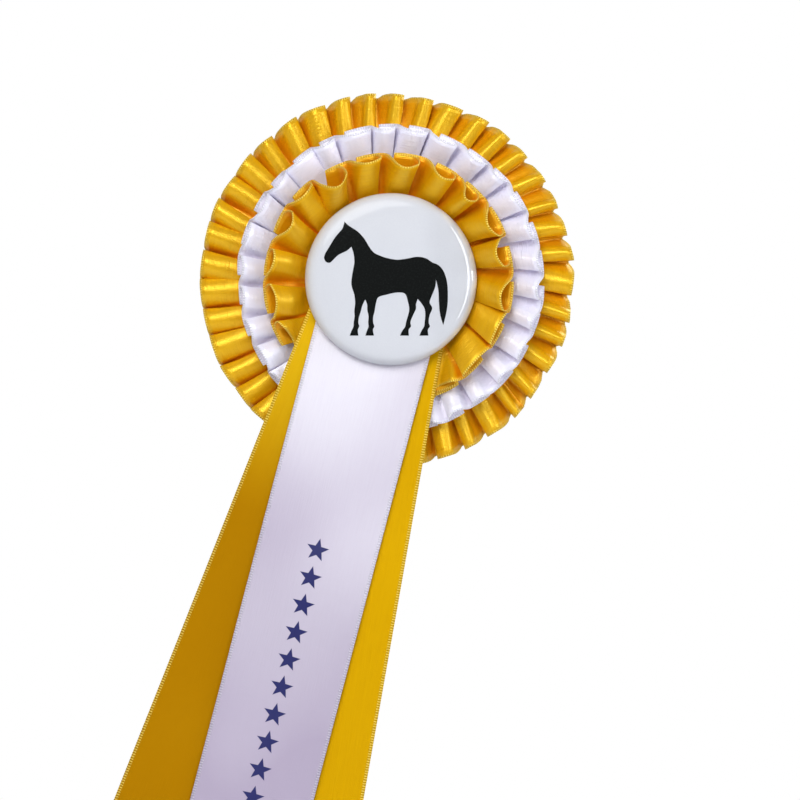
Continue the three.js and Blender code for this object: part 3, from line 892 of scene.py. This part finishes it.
# %% The horse's outline
HORSE = """
-18.3 19.6, -17.2 21.0, -16.6 23.3 c, -15.3 22.0, -13.8 21.0, -11.8 19.6, -9.8 17.4, -8.2 14.8,
-6.6 12.7, -4.6 11.6, -2.0 10.7, 1.5 10.1, 5.0 10.5, 8.4 11.1, 11.4 10.6, 13.6 9.2, 15.8 8.2,
17.6 6.0, 18.7 2.4, 19.0 -2.4, 18.6 -7.4, 17.4 -12.4 c, 16.3 -8.6, 15.9 -4.4, 15.7 -0.4, 14.9 3.2 c,
14.6 0.6, 13.4 -2.4, 12.7 -4.6, 13.6 -6.6, 12.7 -9.0, 12.4 -11.4, 12.8 -12.8, 12.1 -14.0,
12.3 -16.0 c, 9.2 -16.0 c, 10.0 -14.2, 10.8 -12.9, 11.0 -11.4, 11.2 -9.0, 11.0 -6.8, 9.8 -4.8,
8.6 -3.4 c, 8.0 -5.2, 8.0 -6.8, 6.9 -9.2, 6.1 -11.4, 6.3 -12.8, 5.5 -14.0, 5.6 -16.0 c,
2.5 -16.0 c, 3.4 -14.2, 4.3 -12.9, 4.6 -11.4, 5.3 -9.0, 5.7 -6.8, 5.2 -4.2, 4.2 -1.6, 1.4 -1.2,
-2.4 -2.0, -5.0 -2.9, -5.8 -5.2, -6.2 -7.6, -6.7 -9.6, -6.7 -11.6, -6.3 -12.8, -6.8 -14.0,
-6.4 -16.0 c, -9.4 -16.0 c, -8.8 -14.2, -8.3 -12.9, -8.4 -11.4, -8.3 -9.4, -8.7 -7.4, -8.8 -5.4,
-9.4 -3.6 c, -10.4 -5.6, -11.0 -7.8, -11.6 -9.8, -11.8 -11.6, -11.5 -12.8, -12.0 -14.0,
-11.8 -16.0 c, -14.8 -16.0 c, -14.1 -14.2, -13.5 -12.9, -13.4 -11.4, -13.1 -9.4, -13.2 -7.4,
-12.9 -4.8, -13.2 -2.0, -14.2 1.6, -13.8 5.6, -13.2 9.0, -13.4 12.0, -14.2 14.6 c, -15.6 13.3,
-17.2 12.5, -19.0 11.5, -20.6 9.9, -21.6 9.1, -22.8 9.3, -23.6 10.6, -23.2 12.2, -21.8 14.6,
-19.8 17.8
"""
HORSE_SCALE = 0.97
HORSE_CENTRE = (-0.6, 3.6)


def closed_curve(text, per_span=5):
    """The points of a smooth closed line through the marked points."""
    marks = [entry.split() for entry in text.replace("\n", " ").split(",")]
    spots = [(np.array([float(m[0]), float(m[1])]), len(m) > 2) for m in marks]
    out = []
    for i, (here, sharp) in enumerate(spots):
        before = spots[i - 1][0]
        after, next_sharp = spots[(i + 1) % len(spots)]
        beyond = spots[(i + 2) % len(spots)][0]
        leave = 0 if sharp else (after - before) / 2
        arrive = 0 if next_sharp else (beyond - here) / 2
        for s in np.arange(per_span) / per_span:
            out.append(here * (2 * s**3 - 3 * s**2 + 1) + leave * (s**3 - 2 * s**2 + s)
                       + after * (3 * s**2 - 2 * s**3) + arrive * (s**3 - s**2))
    return [p for p, q in zip(out, [out[-1], *out]) if np.linalg.norm(p - q) > 1e-3]


print("outline points:", len(closed_curve(HORSE)))

# %% Ink on the dome
INK_HEIGHT = 0.04  # mm above the paper
LONGEST_EDGE = 2.0  # mm, so that the ink follows the dome
CUTS = 4  # rounds of cutting edges that are longer


def ink_surface(w):
    speck = object_place(w).noise(1800.0, 3.0)
    colour = speck.smooth(0.45, 0.75).mix(rgb(0.0022, 0.003, 0.0026), rgb(0.007, 0.009, 0.008))
    return {"Base Color": colour, "Roughness": 0.5 + speck * 0.3}


ink = material("black ink under film", {
    "Base Color": rgb(0.003, 0.004, 0.0035), "Specular IOR Level": 0.05, "Coat Weight": 0.25,
    "Coat Roughness": 0.08}, ink_surface)
drawing = bmesh.new()
outline = []
for p in closed_curve(HORSE):
    sideways, upwards = (p - np.array(HORSE_CENTRE)) * HORSE_SCALE
    outline.append(drawing.verts.new((right * sideways + up * upwards) * MM))
border = [drawing.edges.new(pair) for pair in zip(outline, [*outline[1:], outline[0]])]
bmesh.ops.triangle_fill(drawing, use_beauty=True, edges=border)
for _ in range(CUTS):
    long_edges = [e for e in drawing.edges if e.calc_length() > LONGEST_EDGE * MM]
    bmesh.ops.subdivide_edges(drawing, edges=long_edges, cuts=1)
    bmesh.ops.triangulate(drawing, faces=drawing.faces)
for vert in drawing.verts:
    radius = math.hypot(vert.co.x, vert.co.z) / MM
    vert.co.y = -(dome(radius) + INK_HEIGHT) * MM
bmesh.ops.translate(drawing, verts=drawing.verts, vec=BADGE_PLACE)
for face in drawing.faces:
    face.normal_update()
    if face.normal.y > 0:
        face.normal_flip()
    face.smooth = True
horse = into_scene("badge_horse", drawing, ink)
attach(horse, "rosette")

# %% [markdown]
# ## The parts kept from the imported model
# The cards, the threads, the staple, the badge's back plate, the foam pads and the brooch pin have
# their real shapes already, so they aren't made again and only get finishes: buff card with a
# fibrous face, bright nickel that is a little uneven, twisted thread, and foam with fine cells.

# %% Finishes of the kept parts
def card_surface(w):
    place = object_place(w)
    fibre = place.noise(900.0, 4.0)
    mottled = (fibre * 0.5 + place.noise(60.0, 2.0) * 0.5).smooth(0.3, 0.7)
    colour = mottled.mix(rgb(0.62, 0.55, 0.44), rgb(0.72, 0.66, 0.55))
    return {"Base Color": colour, "Normal": fibre.bump(0.4, 0.0002)}


def steel_surface(w):
    place = object_place(w)
    return {"Roughness": 0.16 + 0.12 * place.noise(1500.0, 3.0) + 0.12 * place.noise(220.0, 2.0)}


def thread_surface(w):
    twist = object_place(w).noise(4000.0, 2.0)
    colour = twist.smooth(0.35, 0.65).mix(rgb(0.78, 0.73, 0.64), rgb(0.93, 0.91, 0.85))
    return {"Base Color": colour, "Normal": twist.bump(0.6, 0.0001)}


def foam_surface(w):
    cells = w.node("ShaderNodeTexVoronoi", sockets={"Vector": object_place(w), "Scale": 2200.0})
    colour = cells.smooth(0.1, 0.7).mix(rgb(0.78, 0.78, 0.76), rgb(0.92, 0.92, 0.90))
    return {"Base Color": colour, "Normal": cells.bump(0.5, 0.0002)}


card = material("buff card", {"Base Color": rgb(0.68, 0.62, 0.52), "Roughness": 0.9},
                card_surface)
steel = material("nickel plate", {"Base Color": rgb(0.78, 0.77, 0.74), "Metallic": 1.0},
                 steel_surface)
thread = material("thread", {"Base Color": rgb(0.9, 0.87, 0.8), "Roughness": 0.8},
                  thread_surface)
foam = material("white foam", {"Base Color": rgb(0.88, 0.88, 0.86), "Roughness": 0.95},
                foam_surface)

# %% Putting the finishes on
FINISHES = {
    card: ["backing_card", "outer_card_disc", "middle_card_disc", "inner_card_disc"],
    steel: ["tail_staple", "badge_back_plate", "pin_bar", "hinge_pin", "pin_needle", "catch_rotor"],
    thread: ["outer_thread", "middle_thread", "inner_thread"],
    foam: ["badge_foam_pad", "pin_foam_tape"],
}
for finish, names in FINISHES.items():
    for node_name in names:
        data = frame["nodes"][node_name].data
        data.materials.clear()
        data.materials.append(finish)
    print(finish.name, "on", len(names), "parts")
